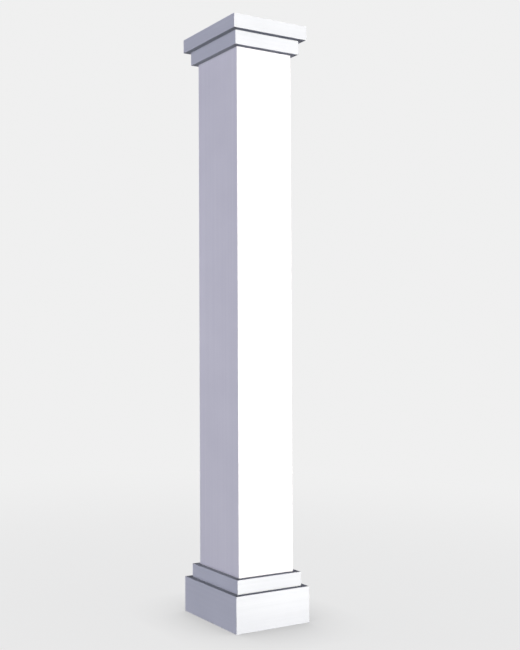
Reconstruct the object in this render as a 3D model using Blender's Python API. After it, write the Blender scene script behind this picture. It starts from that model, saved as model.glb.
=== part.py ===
"""A square porch column wrap of cellular PVC boards. Metres, +Z up.

The origin is at the middle of the underside. The shaft is an open square tube of four panels. Two courses of
trim boards lap its foot as the base, and two lap its head as the cap, so that each shows as two steps.
Every course has four boards, mitred at the corners: front (-Y), right (+X), back (+Y) and left (-X).
"""

from dataclasses import dataclass
from math import radians

import bmesh
import bpy
from mathutils import Vector

INCH = 0.0254

# Shaft
COLUMN_HEIGHT = 108 * INCH
SHAFT_WIDTH = 12 * INCH
PANEL_THICKNESS = 0.5 * INCH

# Base: the plinth boards stand over the ring boards, whose tops show above them
PLINTH_HEIGHT = 6.5 * INCH
PLINTH_THICKNESS = 1 * INCH
RING_REVEAL = 2.5 * INCH
RING_THICKNESS = 1 * INCH

# Cap: the crown boards hang over the neck boards, whose feet show below them
CROWN_HEIGHT = 2.5 * INCH
CROWN_THICKNESS = 1 * INCH
NECK_REVEAL = 2.5 * INCH
NECK_THICKNESS = 1 * INCH

# How far the sanded flat on each outer arris reaches from it, and the space left in each glued joint
EASED_EDGE = 0.04 * INCH
JOINT_GAP = 0.0003

SIDES = ("front", "right", "back", "left")
QUARTER_TURN = radians(90)

SHAFT_COLOUR = (0.80, 0.80, 0.84, 1.0)
TRIM_COLOUR = (0.71, 0.72, 0.76, 1.0)
PVC_ROUGHNESS = 0.45


@dataclass(frozen=True)
class Course:
    """Four boards that go once round the column between two levels."""

    name: str
    inner_face: float
    thickness: float
    bottom: float
    top: float

    @property
    def outer_face(self):
        return self.inner_face + self.thickness


def clear_scene():
    for thing in list(bpy.data.objects):
        bpy.data.objects.remove(thing, do_unlink=True)


def pvc(name, colour):
    """Matt white cellular PVC."""
    material = bpy.data.materials.new(name)
    material.use_nodes = True
    shader = material.node_tree.nodes["Principled BSDF"]
    shader.inputs["Base Color"].default_value = colour
    shader.inputs["Roughness"].default_value = PVC_ROUGHNESS
    shader.inputs["Metallic"].default_value = 0.0
    return material


def saw(board, point, direction):
    """Cuts off what lies past a point in a direction, square to that direction, and closes the cut."""
    cut = bmesh.ops.bisect_plane(
        board,
        geom=board.verts[:] + board.edges[:] + board.faces[:],
        plane_co=point,
        plane_no=Vector(direction).normalized(),
        clear_outer=True,
    )
    edges = [e for e in cut["geom_cut"] if isinstance(e, bmesh.types.BMEdge)]
    bmesh.ops.contextual_create(board, geom=edges)


def plank(course):
    """A square-edged front board, as long as the course is wide."""
    board = bmesh.new()
    bmesh.ops.create_cube(board, size=1)
    size = Vector((2 * course.outer_face, course.thickness, course.top - course.bottom))
    bmesh.ops.scale(board, vec=size, verts=board.verts)
    middle = Vector((0, -course.inner_face - course.thickness / 2, (course.bottom + course.top) / 2))
    bmesh.ops.translate(board, vec=middle, verts=board.verts)
    return board


def mitre_ends(board):
    """Cuts both ends at 45 degrees, half a joint gap short of the next board."""
    for end in (-1, 1):
        face = Vector((end, 1, 0)).normalized()
        saw(board, face * -JOINT_GAP / 2, face)


def ease_arrises(board, course):
    """Takes the sharp edge off the outer corners and off the outer edges at the top and bottom."""
    outer = course.outer_face
    for end in (-1, 1):
        saw(board, Vector((end * (outer - EASED_EDGE), -outer, 0)), (end, -1, 0))
    for level, way in ((course.bottom, -1), (course.top, 1)):
        saw(board, Vector((0, EASED_EDGE - outer, level)), (0, -1, way))


def place_course(course, material, column):
    """Stands the four boards of a course round the axis, each a quarter turn from the last."""
    board = plank(course)
    mitre_ends(board)
    ease_arrises(board, course)
    mesh = bpy.data.meshes.new(course.name)
    board.to_mesh(mesh)
    board.free()
    mesh.materials.append(material)
    for turns, side in enumerate(SIDES):
        copy = bpy.data.objects.new(f"{course.name}_{side}", mesh)
        copy.rotation_euler.z = turns * QUARTER_TURN
        copy.parent = column
        bpy.context.scene.collection.objects.link(copy)


def shaft_course():
    return Course(
        name="shaft_panel",
        inner_face=SHAFT_WIDTH / 2 - PANEL_THICKNESS,
        thickness=PANEL_THICKNESS,
        bottom=0,
        top=COLUMN_HEIGHT,
    )


def base_courses(shaft):
    ring = Course(
        name="base_ring_board",
        inner_face=shaft.outer_face + JOINT_GAP,
        thickness=RING_THICKNESS,
        bottom=0,
        top=PLINTH_HEIGHT + RING_REVEAL,
    )
    plinth = Course(
        name="base_plinth_board",
        inner_face=ring.outer_face + JOINT_GAP,
        thickness=PLINTH_THICKNESS,
        bottom=0,
        top=PLINTH_HEIGHT,
    )
    return ring, plinth


def cap_courses(shaft):
    neck = Course(
        name="cap_neck_board",
        inner_face=shaft.outer_face + JOINT_GAP,
        thickness=NECK_THICKNESS,
        bottom=COLUMN_HEIGHT - CROWN_HEIGHT - NECK_REVEAL,
        top=COLUMN_HEIGHT,
    )
    crown = Course(
        name="cap_crown_board",
        inner_face=neck.outer_face + JOINT_GAP,
        thickness=CROWN_THICKNESS,
        bottom=COLUMN_HEIGHT - CROWN_HEIGHT,
        top=COLUMN_HEIGHT,
    )
    return neck, crown


def main():
    clear_scene()
    column = bpy.data.objects.new("column", None)
    bpy.context.scene.collection.objects.link(column)

    shaft = shaft_course()
    place_course(shaft, pvc("shaft_pvc", SHAFT_COLOUR), column)
    trim_pvc = pvc("trim_pvc", TRIM_COLOUR)
    for course in base_courses(shaft) + cap_courses(shaft):
        place_course(course, trim_pvc, column)


main()
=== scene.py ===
"""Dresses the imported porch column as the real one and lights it: boards of cellular PVC, mitred and glued.

Every board of the frame is built again with rounded arrises, a real joint line at each mitre and its own
stock coordinates, so that the marks of its making run along the board whichever way it is turned.
"""

import logging
import math
from abc import ABC, abstractmethod
from dataclasses import dataclass
from enum import Enum
from typing import Any

import bmesh
import bpy
from mathutils import Euler, Matrix, Vector


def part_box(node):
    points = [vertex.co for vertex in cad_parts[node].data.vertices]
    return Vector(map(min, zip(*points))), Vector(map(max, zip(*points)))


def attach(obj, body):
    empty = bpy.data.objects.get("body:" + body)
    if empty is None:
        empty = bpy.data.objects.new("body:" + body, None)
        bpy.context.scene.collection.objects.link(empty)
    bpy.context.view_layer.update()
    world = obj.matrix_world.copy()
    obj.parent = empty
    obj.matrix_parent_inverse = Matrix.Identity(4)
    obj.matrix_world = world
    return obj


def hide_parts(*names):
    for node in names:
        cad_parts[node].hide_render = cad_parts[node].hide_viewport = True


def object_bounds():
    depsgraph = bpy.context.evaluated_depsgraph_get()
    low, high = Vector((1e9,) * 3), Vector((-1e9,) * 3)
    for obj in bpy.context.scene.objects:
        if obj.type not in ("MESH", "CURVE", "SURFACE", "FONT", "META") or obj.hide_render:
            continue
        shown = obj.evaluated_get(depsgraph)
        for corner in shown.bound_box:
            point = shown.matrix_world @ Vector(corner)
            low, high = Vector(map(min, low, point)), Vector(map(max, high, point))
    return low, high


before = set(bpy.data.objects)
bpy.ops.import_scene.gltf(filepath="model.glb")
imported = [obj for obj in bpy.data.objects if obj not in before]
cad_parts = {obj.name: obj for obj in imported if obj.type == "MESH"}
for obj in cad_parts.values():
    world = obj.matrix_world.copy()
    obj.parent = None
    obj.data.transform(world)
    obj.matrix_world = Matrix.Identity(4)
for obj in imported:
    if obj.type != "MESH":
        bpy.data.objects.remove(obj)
CAD_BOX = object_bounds()

LOG = logging.getLogger("porch_column")

MM = 0.001

# The mesh attribute that says where each point lay on its plank: along, through and across it, in metres
STOCK = "stock"

# What nearly all of a noise texture's values lie between
NOISE_SPAN = (0.3, 0.7)


class Side(Enum):
    """The four sides of the column, each a quarter turn on from the last, seen from above."""

    FRONT = 0
    RIGHT = 1
    BACK = 2
    LEFT = 3

    @property
    def word(self) -> str:
        """The side's name as the frame's nodes spell it."""
        return self.name.lower()

    @property
    def turn(self) -> Matrix:
        """The turn that carries a front board to this side."""
        return Matrix.Rotation(math.radians(90) * self.value, 4, "Z")


class Slot(Enum):
    """The record's material slots."""

    SHAFT = "shaft_pvc"
    TRIM = "trim_pvc"


class Lie(Enum):
    """Which way a plank's length runs once it is on the column."""

    UPRIGHT = "upright"
    LEVEL = "level"


class Face(Enum):
    """The two kinds of surface on a board, by material index."""

    SKIN = 0
    SAWN = 1


def linear(hex_colour: str) -> tuple[float, float, float, float]:
    """Turns an sRGB hex colour to linear light.

    Args:
        hex_colour: six hex digits, red first.

    Returns:
        Red, green, blue and an alpha of 1.
    """
    values = [int(hex_colour[i:i + 2], 16) / 255 for i in (0, 2, 4)]
    red, green, blue = (v / 12.92 if v <= 0.04045 else ((v + 0.055) / 1.055) ** 2.4 for v in values)
    return red, green, blue, 1.0


def add_node(
    tree: bpy.types.NodeTree,
    kind: str,
    settings: dict[str, Any] | None = None,
    inputs: dict[str | int, Any] | None = None,
) -> bpy.types.Node:
    """Adds one node with its settings and its inputs.

    Args:
        tree: the node tree to add to.
        kind: the node's type name.
        settings: the node's own properties, by name.
        inputs: for each input socket, by name or place, a value or the output socket that feeds it.

    Returns:
        The new node.
    """
    node = tree.nodes.new(kind)
    for name, value in (settings or {}).items():
        setattr(node, name, value)
    for name, value in (inputs or {}).items():
        if isinstance(value, bpy.types.NodeSocket):
            tree.links.new(value, node.inputs[name])
        else:
            node.inputs[name].default_value = value
    return node


def empty_tree(owner: bpy.types.Material | bpy.types.World) -> bpy.types.NodeTree:
    """Gives a material or a world a node tree with nothing in it.

    Args:
        owner: the material or the world.

    Returns:
        The empty tree.
    """
    owner.use_nodes = True
    owner.node_tree.nodes.clear()
    return owner.node_tree


def add_object(name: str, data: bpy.types.ID) -> bpy.types.Object:
    """Puts a mesh, a lamp or a camera in the scene.

    Args:
        name: the object's name.
        data: what it shows.

    Returns:
        The new object.
    """
    thing = bpy.data.objects.new(name, data)
    bpy.context.scene.collection.objects.link(thing)
    return thing


@dataclass(frozen=True, kw_only=True)
class Finish(ABC):
    """One kind of surface on foamed PVC board. Its marks follow the stock that the board was cut from.

    Args:
        name: the material's name.
        tone: the surface's colour.
        mark: its colour in the marks of its making, a shade deeper.
        roughness: its least and greatest roughness.
        ior: the plastic's index of refraction.
    """

    name: str
    tone: str
    mark: str
    roughness: tuple[float, float]
    ior: float = 1.53

    def build(self) -> bpy.types.Material:
        """Makes the material.

        Returns:
            The material, which reads where each point lay on its plank.
        """
        material = bpy.data.materials.new(self.name)
        tree = empty_tree(material)
        stock = add_node(tree, "ShaderNodeAttribute", {"attribute_name": STOCK, "attribute_type": "GEOMETRY"})
        shader = self._shade(tree, stock.outputs["Vector"])
        add_node(tree, "ShaderNodeOutputMaterial", {}, {"Surface": shader.outputs["BSDF"]})
        return material

    @abstractmethod
    def _shade(self, tree: bpy.types.NodeTree, stock: bpy.types.NodeSocket) -> bpy.types.Node:
        """Adds the nodes that draw the surface.

        Args:
            tree: the material's tree.
            stock: where each point lay on its plank.

        Returns:
            The shader.
        """


@dataclass(frozen=True, kw_only=True)
class PressedSkin(Finish):
    """The face of foamed PVC board, pressed smooth between steel rolls as it leaves the die.

    It gives the eye a dense, even white, satin on thin sheet and matt on thick board. Up close there are
    faint streaks along the board from the die, clouds where it cooled unevenly, and the soft pebbling of a
    rolled plastic skin.

    Args:
        specular_level: how strongly the skin mirrors, 0.5 being what its index of refraction gives.
        streak_width_mm: width of a die streak.
        streak_length_mm: length of a die streak.
        cloud_mm: width of a cloud.
        mark_span: streaks and clouds added together, where the tone ends and where the mark is full.
        pebble_mm: width of a pebble.
        pebble_height_mm: height of a pebble.
    """

    roughness: tuple[float, float] = (0.50, 0.60)
    specular_level: float = 0.5
    # Real die streaks lie about a millimetre apart, too fine to show, so they are drawn wider
    streak_width_mm: float = 14
    streak_length_mm: float = 1500
    cloud_mm: float = 260
    mark_span: tuple[float, float] = (0.75, 1.25)
    pebble_mm: float = 5
    pebble_height_mm: float = 0.006

    def _shade(self, tree: bpy.types.NodeTree, stock: bpy.types.NodeSocket) -> bpy.types.Node:
        """Adds the streaks, the clouds and the pebbling.

        Args:
            tree: the material's tree.
            stock: where each point lay on its plank.

        Returns:
            The shader.
        """
        across = 1 / (self.streak_width_mm * MM)
        along = 1 / (self.streak_length_mm * MM)
        drawn_out = add_node(
            tree,
            "ShaderNodeMapping",
            {"vector_type": "POINT"},
            {"Vector": stock, "Scale": (along, across, across)},
        )
        streaks = add_node(
            tree,
            "ShaderNodeTexNoise",
            {"noise_dimensions": "3D"},
            {"Vector": drawn_out.outputs["Vector"], "Scale": 1.0, "Detail": 3.0, "Roughness": 0.6},
        )
        clouds = add_node(
            tree,
            "ShaderNodeTexNoise",
            {"noise_dimensions": "3D"},
            {"Vector": stock, "Scale": 1 / (self.cloud_mm * MM), "Detail": 2.0},
        )
        pebbles = add_node(
            tree,
            "ShaderNodeTexNoise",
            {"noise_dimensions": "3D"},
            {"Vector": stock, "Scale": 1 / (self.pebble_mm * MM), "Detail": 1.0},
        )
        both = add_node(
            tree,
            "ShaderNodeMath",
            {"operation": "ADD"},
            {0: streaks.outputs["Fac"], 1: clouds.outputs["Fac"]},
        )
        depth = add_node(
            tree,
            "ShaderNodeMapRange",
            {"clamp": True},
            {
                "Value": both.outputs["Value"],
                "From Min": self.mark_span[0],
                "From Max": self.mark_span[1],
            },
        )
        colour = add_node(
            tree,
            "ShaderNodeMix",
            {"data_type": "RGBA"},
            {"Factor": depth.outputs["Result"], "A": linear(self.tone), "B": linear(self.mark)},
        )
        sheen = add_node(
            tree,
            "ShaderNodeMapRange",
            {"clamp": True},
            {
                "Value": clouds.outputs["Fac"],
                "From Min": NOISE_SPAN[0],
                "From Max": NOISE_SPAN[1],
                "To Min": self.roughness[0],
                "To Max": self.roughness[1],
            },
        )
        bump = add_node(
            tree,
            "ShaderNodeBump",
            {},
            {"Strength": 1.0, "Distance": self.pebble_height_mm * MM, "Height": pebbles.outputs["Fac"]},
        )
        return add_node(
            tree,
            "ShaderNodeBsdfPrincipled",
            {},
            {
                "Base Color": colour.outputs["Result"],
                "Roughness": sheen.outputs["Result"],
                "IOR": self.ior,
                "Specular IOR Level": self.specular_level,
                "Normal": bump.outputs["Normal"],
            },
        )


@dataclass(frozen=True, kw_only=True)
class SawnFoam(Finish):
    """The edge of foamed PVC board where a fine saw has opened its closed cells.

    It gives the eye a dry, chalky white with hardly any sheen, finely scored across the board by the blade.
    Where the board laps another, a thin line of dust and painted shade darkens the edge towards the corner
    between them.

    Args:
        specular_level: how strongly the edge mirrors, 0.5 being what its index of refraction gives.
        score_mm: space between two blade scores.
        score_length_mm: length of a score across the board.
        score_height_mm: height of a score.
        cell_mm: width of an opened cell.
        cell_height_mm: depth of an opened cell.
        dust_and_shade: colour of the dust and painted shade in the corner.
        dust_and_shade_share: how much of the tone the dust and painted shade hide in the corner.
        dust_and_shade_width_mm: width of the line of dust and painted shade.
    """

    roughness: tuple[float, float] = (0.72, 0.86)
    specular_level: float = 0.25
    # Blade scores are about 0.8 mm apart on the real edge, drawn coarser so that they show
    score_mm: float = 2.2
    score_length_mm: float = 110
    score_height_mm: float = 0.02
    cell_mm: float = 0.9
    cell_height_mm: float = 0.03
    # Dust and painted shade: the colour that darkens the edge in the corner where the board laps another
    dust_and_shade: str = "7E7C7A"
    dust_and_shade_share: float = 0.0
    dust_and_shade_width_mm: float = 5.0

    def _shade(self, tree: bpy.types.NodeTree, stock: bpy.types.NodeSocket) -> bpy.types.Node:
        """Adds the scores, the open cells, and the line of dust and painted shade.

        Args:
            tree: the material's tree.
            stock: where each point lay on its plank.

        Returns:
            The shader.
        """
        along = 1 / (self.score_mm * MM)
        across = 1 / (self.score_length_mm * MM)
        drawn_out = add_node(
            tree,
            "ShaderNodeMapping",
            {"vector_type": "POINT"},
            {"Vector": stock, "Scale": (along, across, across)},
        )
        scores = add_node(
            tree,
            "ShaderNodeTexNoise",
            {"noise_dimensions": "3D"},
            {"Vector": drawn_out.outputs["Vector"], "Scale": 1.0, "Detail": 2.0},
        )
        cells = add_node(
            tree,
            "ShaderNodeTexVoronoi",
            {"voronoi_dimensions": "3D", "feature": "F1"},
            {"Vector": stock, "Scale": 1 / (self.cell_mm * MM)},
        )
        scored = add_node(
            tree,
            "ShaderNodeMix",
            {"data_type": "RGBA"},
            {"Factor": scores.outputs["Fac"], "A": linear(self.tone), "B": linear(self.mark)},
        )
        place = add_node(tree, "ShaderNodeSeparateXYZ", {}, {"Vector": stock})
        # Painted shade with dust: the edge darkens towards the corner where the board laps another
        corner = add_node(
            tree,
            "ShaderNodeMapRange",
            {"interpolation_type": "SMOOTHSTEP"},
            {
                "Value": place.outputs["Y"],
                "From Min": 0.0,
                "From Max": self.dust_and_shade_width_mm * MM,
                "To Min": self.dust_and_shade_share,
                "To Max": 0.0,
            },
        )
        colour = add_node(
            tree,
            "ShaderNodeMix",
            {"data_type": "RGBA"},
            {"Factor": corner.outputs["Result"], "A": scored.outputs["Result"], "B": linear(self.dust_and_shade)},
        )
        dryness = add_node(
            tree,
            "ShaderNodeMapRange",
            {"clamp": True},
            {
                "Value": scores.outputs["Fac"],
                "From Min": NOISE_SPAN[0],
                "From Max": NOISE_SPAN[1],
                "To Min": self.roughness[0],
                "To Max": self.roughness[1],
            },
        )
        grooves = add_node(
            tree,
            "ShaderNodeBump",
            {},
            {"Strength": 1.0, "Distance": self.score_height_mm * MM, "Height": scores.outputs["Fac"]},
        )
        pits = add_node(
            tree,
            "ShaderNodeBump",
            {},
            {
                "Strength": 1.0,
                "Distance": self.cell_height_mm * MM,
                "Height": cells.outputs["Distance"],
                "Normal": grooves.outputs["Normal"],
            },
        )
        return add_node(
            tree,
            "ShaderNodeBsdfPrincipled",
            {},
            {
                "Base Color": colour.outputs["Result"],
                "Roughness": dryness.outputs["Result"],
                "IOR": self.ior,
                "Specular IOR Level": self.specular_level,
                "Normal": pits.outputs["Normal"],
            },
        )


@dataclass(frozen=True)
class Board:
    """One mitred board, as the carpenter cuts it for the front of its course.

    Args:
        inner_face: from the column's axis to the board's back.
        outer_face: from the column's axis to the board's face.
        bottom: height of its lower edge.
        top: height of its upper edge.
        lie: which way its length runs.
        rim_ease: radius of its rounded level arrises.
        mitre_ease: radius of the rounded arris at each mitre.
        glue_line: space between its mitre and the next board's.
        ease_steps: flats in a rounded arris.
        sharpest_step_deg: the steepest turn that is still shaded as one round.
    """

    inner_face: float
    outer_face: float
    bottom: float
    top: float
    lie: Lie
    rim_ease: float
    mitre_ease: float
    glue_line: float = 0.3 * MM
    ease_steps: int = 4
    sharpest_step_deg: float = 40

    def build(self, name: str, offcut: float) -> bpy.types.Mesh:
        """Makes the board's mesh where the front of the course is.

        Args:
            name: the mesh's name.
            offcut: how far along the stock this board was cut, in metres, so that no two have the same marks.

        Returns:
            The mesh, with its stock coordinates and its two kinds of face.
        """
        board = bmesh.new()
        self._plank(board)
        self._mitre(board)
        self._ease(board)
        bmesh.ops.recalc_face_normals(board, faces=board.faces)
        for face in board.faces:
            face.smooth = True
            face.material_index = self._kind(face).value
        mesh = bpy.data.meshes.new(name)
        board.to_mesh(mesh)
        board.free()
        mesh.set_sharp_from_angle(angle=math.radians(self.sharpest_step_deg))
        self._mark_stock(mesh, offcut)
        return mesh

    def _plank(self, board: bmesh.types.BMesh) -> None:
        """Starts from a square-edged plank as long as the course is wide.

        Args:
            board: the empty mesh that the plank goes into.
        """
        bmesh.ops.create_cube(board, size=1)
        thickness = self.outer_face - self.inner_face
        size = Vector((2 * self.outer_face, thickness, self.top - self.bottom))
        middle = Vector((0, -self.inner_face - thickness / 2, (self.bottom + self.top) / 2))
        bmesh.ops.scale(board, vec=size, verts=board.verts)
        bmesh.ops.translate(board, vec=middle, verts=board.verts)

    def _mitre(self, board: bmesh.types.BMesh) -> None:
        """Saws both ends at 45 degrees, half a glue line short of the next board.

        Args:
            board: the plank.
        """
        for end in (-1, 1):
            way = self._mitre_way(end)
            cut = bmesh.ops.bisect_plane(
                board,
                geom=board.verts[:] + board.edges[:] + board.faces[:],
                plane_co=way * -self.glue_line / 2,
                plane_no=way,
                clear_outer=True,
            )
            edges = [e for e in cut["geom_cut"] if isinstance(e, bmesh.types.BMEdge)]
            bmesh.ops.contextual_create(board, geom=edges)

    @staticmethod
    def _mitre_way(end: float) -> Vector:
        """The way that the mitre faces at the left end, below zero, or at the right end."""
        return Vector((math.copysign(1, end), 1, 0)).normalized()

    def _ease(self, board: bmesh.types.BMesh) -> None:
        """Rounds the level outer arrises, and then the outer arrises of the mitres.

        Args:
            board: the mitred board.
        """
        for upright, ease in ((False, self.rim_ease), (True, self.mitre_ease)):
            bmesh.ops.bevel(
                board,
                geom=[e for e in board.edges if self._on_arris(e, upright)],
                offset=ease,
                offset_type="OFFSET",
                segments=self.ease_steps,
                profile=0.5,
                affect="EDGES",
                material=-1,
            )

    def _on_arris(self, edge: bmesh.types.BMEdge, upright: bool) -> bool:
        """Tells whether an edge is an arris of the board's outer face that runs the way asked for.

        Args:
            edge: an edge of the board.
            upright: whether it should run upright, and not level.

        Returns:
            True for such an arris.
        """
        near = 1e-6
        a, b = (v.co for v in edge.verts)
        outside = all(abs(point.y + self.outer_face) < near for point in (a, b))
        return outside and (abs(a.z - b.z) > near) == upright

    def _kind(self, face: bmesh.types.BMFace) -> Face:
        """Tells a sawn edge or mitre from the pressed skin and its rounded arrises.

        Args:
            face: a face of the board.

        Returns:
            Which kind of surface it is.
        """
        square_on = 0.999
        level = abs(face.normal.z) > square_on
        mitred = face.normal.dot(self._mitre_way(face.normal.x)) > square_on
        return Face.SAWN if level or mitred else Face.SKIN

    def _mark_stock(self, mesh: bpy.types.Mesh, offcut: float) -> None:
        """Writes where each point lay on the plank that the board was cut from.

        Args:
            mesh: the finished board.
            offcut: how far along the stock it was cut, in metres.
        """
        marks = mesh.attributes.new(STOCK, "FLOAT_VECTOR", "POINT")
        for point, mark in zip(mesh.vertices, marks.data):
            x, y, z = point.co
            along, across = (z, x) if self.lie is Lie.UPRIGHT else (x, z)
            mark.vector = (along + offcut, -y - self.inner_face, across)


@dataclass(frozen=True)
class Course:
    """Four boards that go once round the column, each standing for its node of the frame.

    Args:
        node: what the four nodes' names start with.
        slot: the record's material slot of the boards; not used.
        lie: which way the boards' length runs.
        skin: the finish of their faces.
        sawn: the finish of their edges and ends.
        stock_start: how far along the stock the first board was cut, in metres.
        rim_ease: radius of the boards' rounded level arrises.
        mitre_ease: radius of the rounded arris at each mitre.
    """

    node: str
    slot: Slot
    lie: Lie
    skin: bpy.types.Material
    sawn: bpy.types.Material
    stock_start: float
    rim_ease: float
    mitre_ease: float

    def board(self) -> Board:
        """Sizes the front board of the course from its node.

        Returns:
            The board, not yet built.
        """
        low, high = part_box(f"{self.node}_{Side.FRONT.word}")
        return Board(
            inner_face=-high.y,
            outer_face=-low.y,
            bottom=low.z,
            top=high.z,
            lie=self.lie,
            rim_ease=self.rim_ease,
            mitre_ease=self.mitre_ease,
        )

    def build(self) -> list[bpy.types.Object]:
        """Makes the four boards and fixes them to the frame.

        Returns:
            The four pieces.
        """
        board = self.board()
        stock_used = board.top - board.bottom if self.lie is Lie.UPRIGHT else 2 * board.outer_face
        pieces = []
        for side in Side:
            name = f"finished_{self.node}_{side.word}"
            mesh = board.build(name, self.stock_start + side.value * stock_used)
            mesh.transform(side.turn)
            piece = add_object(name, mesh)
            self.dress(piece)
            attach(piece, "root")
            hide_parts(f"{self.node}_{side.word}")
            pieces.append(piece)
        return pieces

    def dress(self, piece: bpy.types.Object) -> None:
        """Gives a board its two finishes, and keeps its flat faces flat beside the rounded arrises.

        Args:
            piece: the board.
        """
        piece.data.materials.append(self.skin)
        piece.data.materials.append(self.sawn)
        normals = piece.modifiers.new("flat_faces", "WEIGHTED_NORMAL")
        normals.keep_sharp = True


@dataclass(frozen=True)
class Shaft:
    """The square tube of four full-height panels that a structural post stands in.

    Args:
        skin: the finish of the panels' faces.
        sawn: the finish of their ends.
        arris_ease: radius of the panels' rounded arrises.
    """

    skin: bpy.types.Material
    sawn: bpy.types.Material
    arris_ease: float = 1.0 * MM

    def build(self) -> list[bpy.types.Object]:
        """Makes the four panels.

        Returns:
            The four pieces.
        """
        panels = Course(
            node="shaft_panel",
            slot=Slot.SHAFT,
            lie=Lie.UPRIGHT,
            skin=self.skin,
            sawn=self.sawn,
            stock_start=0.0,
            rim_ease=self.arris_ease,
            mitre_ease=self.arris_ease,
        )
        return panels.build()


@dataclass(frozen=True)
class Trim:
    """The stepped base or the stepped cap: one course of boards against the shaft and another over it.

    Args:
        inner: what the inner course's nodes are called.
        outer: what the outer course's nodes are called.
        skin: the finish of the boards' faces.
        sawn: the finish of their edges.
        stock_start: how far along the stock the first board was cut, in metres.
        inner_stock: how much stock the inner course takes, offcuts included, in metres.
        rim_ease: radius of the boards' rounded level arrises.
        mitre_ease: radius of the rounded arris at each mitre.
    """

    inner: str
    outer: str
    skin: bpy.types.Material
    sawn: bpy.types.Material
    stock_start: float
    inner_stock: float = 2.0
    rim_ease: float = 1.5 * MM
    mitre_ease: float = 1.5 * MM

    def build(self) -> list[bpy.types.Object]:
        """Makes both courses.

        Returns:
            The eight pieces.
        """
        pieces = []
        for place, node in enumerate((self.inner, self.outer)):
            course = Course(
                node=node,
                slot=Slot.TRIM,
                lie=Lie.LEVEL,
                skin=self.skin,
                sawn=self.sawn,
                stock_start=self.stock_start + place * self.inner_stock,
                rim_ease=self.rim_ease,
                mitre_ease=self.mitre_ease,
            )
            pieces += course.build()
        return pieces


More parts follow.
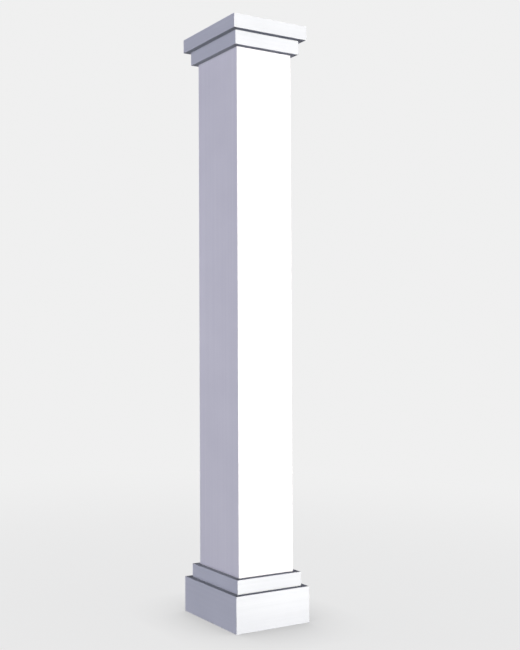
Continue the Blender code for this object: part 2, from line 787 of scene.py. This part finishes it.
@dataclass(frozen=True)
class Studio:
    """A pale floor that runs into a pale surround, with a key light in front and a weaker one behind.

    The drawing lights the front faces to white, leaves the left faces in an even lavender shade, and keeps
    ledges and undersides dark. So both lamps lie near the level, and the surround shines in a band round it.
    """

    backdrop: str = "FFFFFF"
    backdrop_strength: float = 0.87
    fill: str = "C2C1D2"
    fill_strength: float = 2.85
    fill_beyond: float = 0.06
    # Sines of the angles above and below the level where the band starts to fade, and where it ends
    band_flat: float = 0.06
    band_end: float = 0.42
    floor_paint: str = "F4F4F4"
    floor_radius: float = 16.0
    floor_sides: int = 96
    floor_drop: float = 0.5 * MM
    # How much of the floor glows and isn't paint, beside the column and far from it, and at what distances
    floor_glow: tuple[float, float] = (0.90, 1.0)
    floor_glow_reach: tuple[float, float] = (0.2, 5.0)
    # How far the column's contact shade reaches over the floor, and what it leaves of the glow at the column
    contact_reach: float = 0.30
    contact_shade: float = 0.70
    # A point of the floor right beside an upright face sees half of the open air above it
    contact_openness: float = 0.5
    lamp_colour: str = "FFFAEA"
    lamp_elevation_deg: float = 1.0
    lamp_spread_deg: float = 3.0
    key_strength: float = 2.95
    back_strength: float = 1.1
    hollow_lamp_watts: float = 14.0
    hollow_lamp_rise: float = 1.2
    hollow_lamp_width: float = 0.30

    def build(self) -> None:
        """Makes the surround, the floor and the lamps."""
        self._surround()
        self._floor()
        self._far_lamp("key", self.key_strength, azimuth_deg=0.0)
        self._far_lamp("back", self.back_strength, azimuth_deg=180.0)
        self._hollow_lamp()

    def _surround(self) -> None:
        """Makes the world: pale where the camera sees it, and a soft band of light round the column."""
        world = bpy.data.worlds.new("surround")
        tree = empty_tree(world)
        way = add_node(tree, "ShaderNodeTexCoord")
        parts = add_node(tree, "ShaderNodeSeparateXYZ", {}, {"Vector": way.outputs["Generated"]})
        rise = add_node(tree, "ShaderNodeMath", {"operation": "ABSOLUTE"}, {0: parts.outputs["Z"]})
        band = add_node(
            tree,
            "ShaderNodeMapRange",
            {"interpolation_type": "SMOOTHSTEP"},
            {
                "Value": rise.outputs["Value"],
                "From Min": self.band_flat,
                "From Max": self.band_end,
                "To Min": self.fill_strength,
                "To Max": self.fill_beyond,
            },
        )
        light = add_node(
            tree,
            "ShaderNodeBackground",
            {},
            {"Color": linear(self.fill), "Strength": band.outputs["Result"]},
        )
        seen = add_node(
            tree,
            "ShaderNodeBackground",
            {},
            {"Color": linear(self.backdrop), "Strength": self.backdrop_strength},
        )
        rays = add_node(tree, "ShaderNodeLightPath")
        mix = add_node(
            tree,
            "ShaderNodeMixShader",
            {},
            {0: rays.outputs["Is Camera Ray"], 1: light.outputs["Background"], 2: seen.outputs["Background"]},
        )
        add_node(tree, "ShaderNodeOutputWorld", {}, {"Surface": mix.outputs["Shader"]})
        bpy.context.scene.world = world

    def _floor(self) -> None:
        """Makes a round floor that runs into the surround without a horizon."""
        disc = bmesh.new()
        bmesh.ops.create_circle(disc, cap_ends=True, radius=self.floor_radius, segments=self.floor_sides)
        bmesh.ops.translate(disc, vec=Vector((0, 0, -self.floor_drop)), verts=disc.verts)
        mesh = bpy.data.meshes.new("studio_floor")
        disc.to_mesh(mesh)
        disc.free()
        mesh.materials.append(self._floor_paint())
        floor = add_object("studio_floor", mesh)
        floor.visible_diffuse = False

    def _floor_paint(self) -> bpy.types.Material:
        """Makes the floor's material.

        It glows as evenly as the surround does. Near the column a part of it is matt paint, which takes the
        column's own soft shade, and the glow fades right beside the column, where little open air shines in.

        Returns:
            The material.
        """
        material = bpy.data.materials.new("pale_studio_floor")
        tree = empty_tree(material)
        openness = add_node(tree, "ShaderNodeAmbientOcclusion", {}, {"Distance": self.contact_reach})
        strength = add_node(
            tree,
            "ShaderNodeMapRange",
            {"clamp": True},
            {
                "Value": openness.outputs["AO"],
                "From Min": self.contact_openness,
                "From Max": 1.0,
                "To Min": self.backdrop_strength * self.contact_shade,
                "To Max": self.backdrop_strength,
            },
        )
        glow = add_node(
            tree,
            "ShaderNodeEmission",
            {},
            {"Color": linear(self.backdrop), "Strength": strength.outputs["Result"]},
        )
        paint = add_node(tree, "ShaderNodeBsdfDiffuse", {}, {"Color": linear(self.floor_paint)})
        place = add_node(tree, "ShaderNodeTexCoord")
        reach = add_node(tree, "ShaderNodeVectorMath", {"operation": "LENGTH"}, {0: place.outputs["Object"]})
        share = add_node(
            tree,
            "ShaderNodeMapRange",
            {"interpolation_type": "SMOOTHSTEP"},
            {
                "Value": reach.outputs["Value"],
                "From Min": self.floor_glow_reach[0],
                "From Max": self.floor_glow_reach[1],
                "To Min": self.floor_glow[0],
                "To Max": self.floor_glow[1],
            },
        )
        mix = add_node(
            tree,
            "ShaderNodeMixShader",
            {},
            {0: share.outputs["Result"], 1: paint.outputs["BSDF"], 2: glow.outputs["Emission"]},
        )
        add_node(tree, "ShaderNodeOutputMaterial", {}, {"Surface": mix.outputs["Shader"]})
        return material

    def _far_lamp(self, name: str, strength: float, azimuth_deg: float) -> None:
        """Hangs a far, soft lamp just above the level, whose light isn't passed on from face to face.

        Args:
            name: the lamp's name.
            strength: its power.
            azimuth_deg: where it stands, round from the front, as seen from above.
        """
        data = bpy.data.lights.new(name, "SUN")
        data.energy = strength
        data.color = linear(self.lamp_colour)[:3]
        data.angle = math.radians(self.lamp_spread_deg)
        data.cycles.max_bounces = 0
        tilt = math.radians(90 - self.lamp_elevation_deg)
        add_object(name, data).rotation_euler = Euler((tilt, 0, math.radians(azimuth_deg)))

    def _hollow_lamp(self) -> None:
        """Hangs a small soft lamp over the open head, to show the hollow and the board tops from above."""
        data = bpy.data.lights.new("hollow_lamp", "AREA")
        data.shape = "DISK"
        data.size = self.hollow_lamp_width
        data.energy = self.hollow_lamp_watts
        lamp = add_object("hollow_lamp", data)
        lamp.location = (0, 0, CAD_BOX[1].z + self.hollow_lamp_rise)
        lamp.visible_camera = False


@dataclass(frozen=True)
class DrawingCamera:
    """The camera that matches the drawing's perspective, found from thirty corners of the column in it.

    The drawing is cut from a wider one, so its lens axis lies left of its middle. The sideways shift gives
    most of that and still leaves the whole column in view from other sides.
    """

    place: tuple[float, float, float] = (-2.5862, -3.4539, 1.2652)
    turn_deg: tuple[float, float, float] = (90.873, 0.074, -26.342)
    focal_length_px: float = 901.67
    picture_height_px: float = 650
    sensor_mm: float = 36.0
    shift: tuple[float, float] = (0.28, 0.0118)
    clip_end: float = 60.0

    def build(self) -> None:
        """Makes the camera and gives it to the scene."""
        data = bpy.data.cameras.new("drawing_camera")
        # The picture is taller than wide, so Blender lays this measure of the sensor along its height
        data.sensor_width = self.sensor_mm
        data.lens = self.sensor_mm * self.focal_length_px / self.picture_height_px
        data.shift_x, data.shift_y = self.shift
        data.clip_end = self.clip_end
        camera = add_object("drawing_camera", data)
        camera.location = self.place
        camera.rotation_euler = Euler([math.radians(turn) for turn in self.turn_deg])
        bpy.context.scene.camera = camera


def main() -> None:
    """Builds the column's boards, the studio round it and the camera."""
    logging.basicConfig(level=logging.INFO, format="%(name)s: %(message)s")
    bpy.context.scene.view_settings.view_transform = "Standard"

    # The shaft's thin sheet is the whiter stock with a satin face. The thick trim boards are greyer and matt
    sheet_skin = PressedSkin(name="pvc_sheet_pressed_white", tone="F0F0F2", mark="EAEAED")
    sheet_sawn = SawnFoam(name="pvc_sheet_sawn_end", tone="DCDCDB", mark="CECECD")
    trim_skin = PressedSkin(
        name="pvc_trim_board_pressed_white",
        tone="D8DCE0",
        mark="D2D6DA",
        roughness=(0.60, 0.70),
        specular_level=0.2,
    )
    # The trim's sawn edges are a deeper grey than their opened cells alone give: painted shade on the ledges
    # and undersides of the base and cap
    trim_sawn_and_shade = SawnFoam(name="pvc_trim_board_sawn_edge", tone="BEC2C6", mark="AEB2B6", dust_and_shade_share=0.35)
    sheet = sheet_skin.build(), sheet_sawn.build()
    trim = trim_skin.build(), trim_sawn_and_shade.build()
    parts = (
        Shaft(*sheet),
        Trim("base_ring_board", "base_plinth_board", *trim, stock_start=3.0),
        Trim("cap_neck_board", "cap_crown_board", *trim, stock_start=8.0),
    )
    for part in parts:
        for piece in part.build():
            LOG.info("%s: %d faces", piece.name, len(piece.data.polygons))

    Studio().build()
    DrawingCamera().build()


if __name__ == "__main__":
    main()
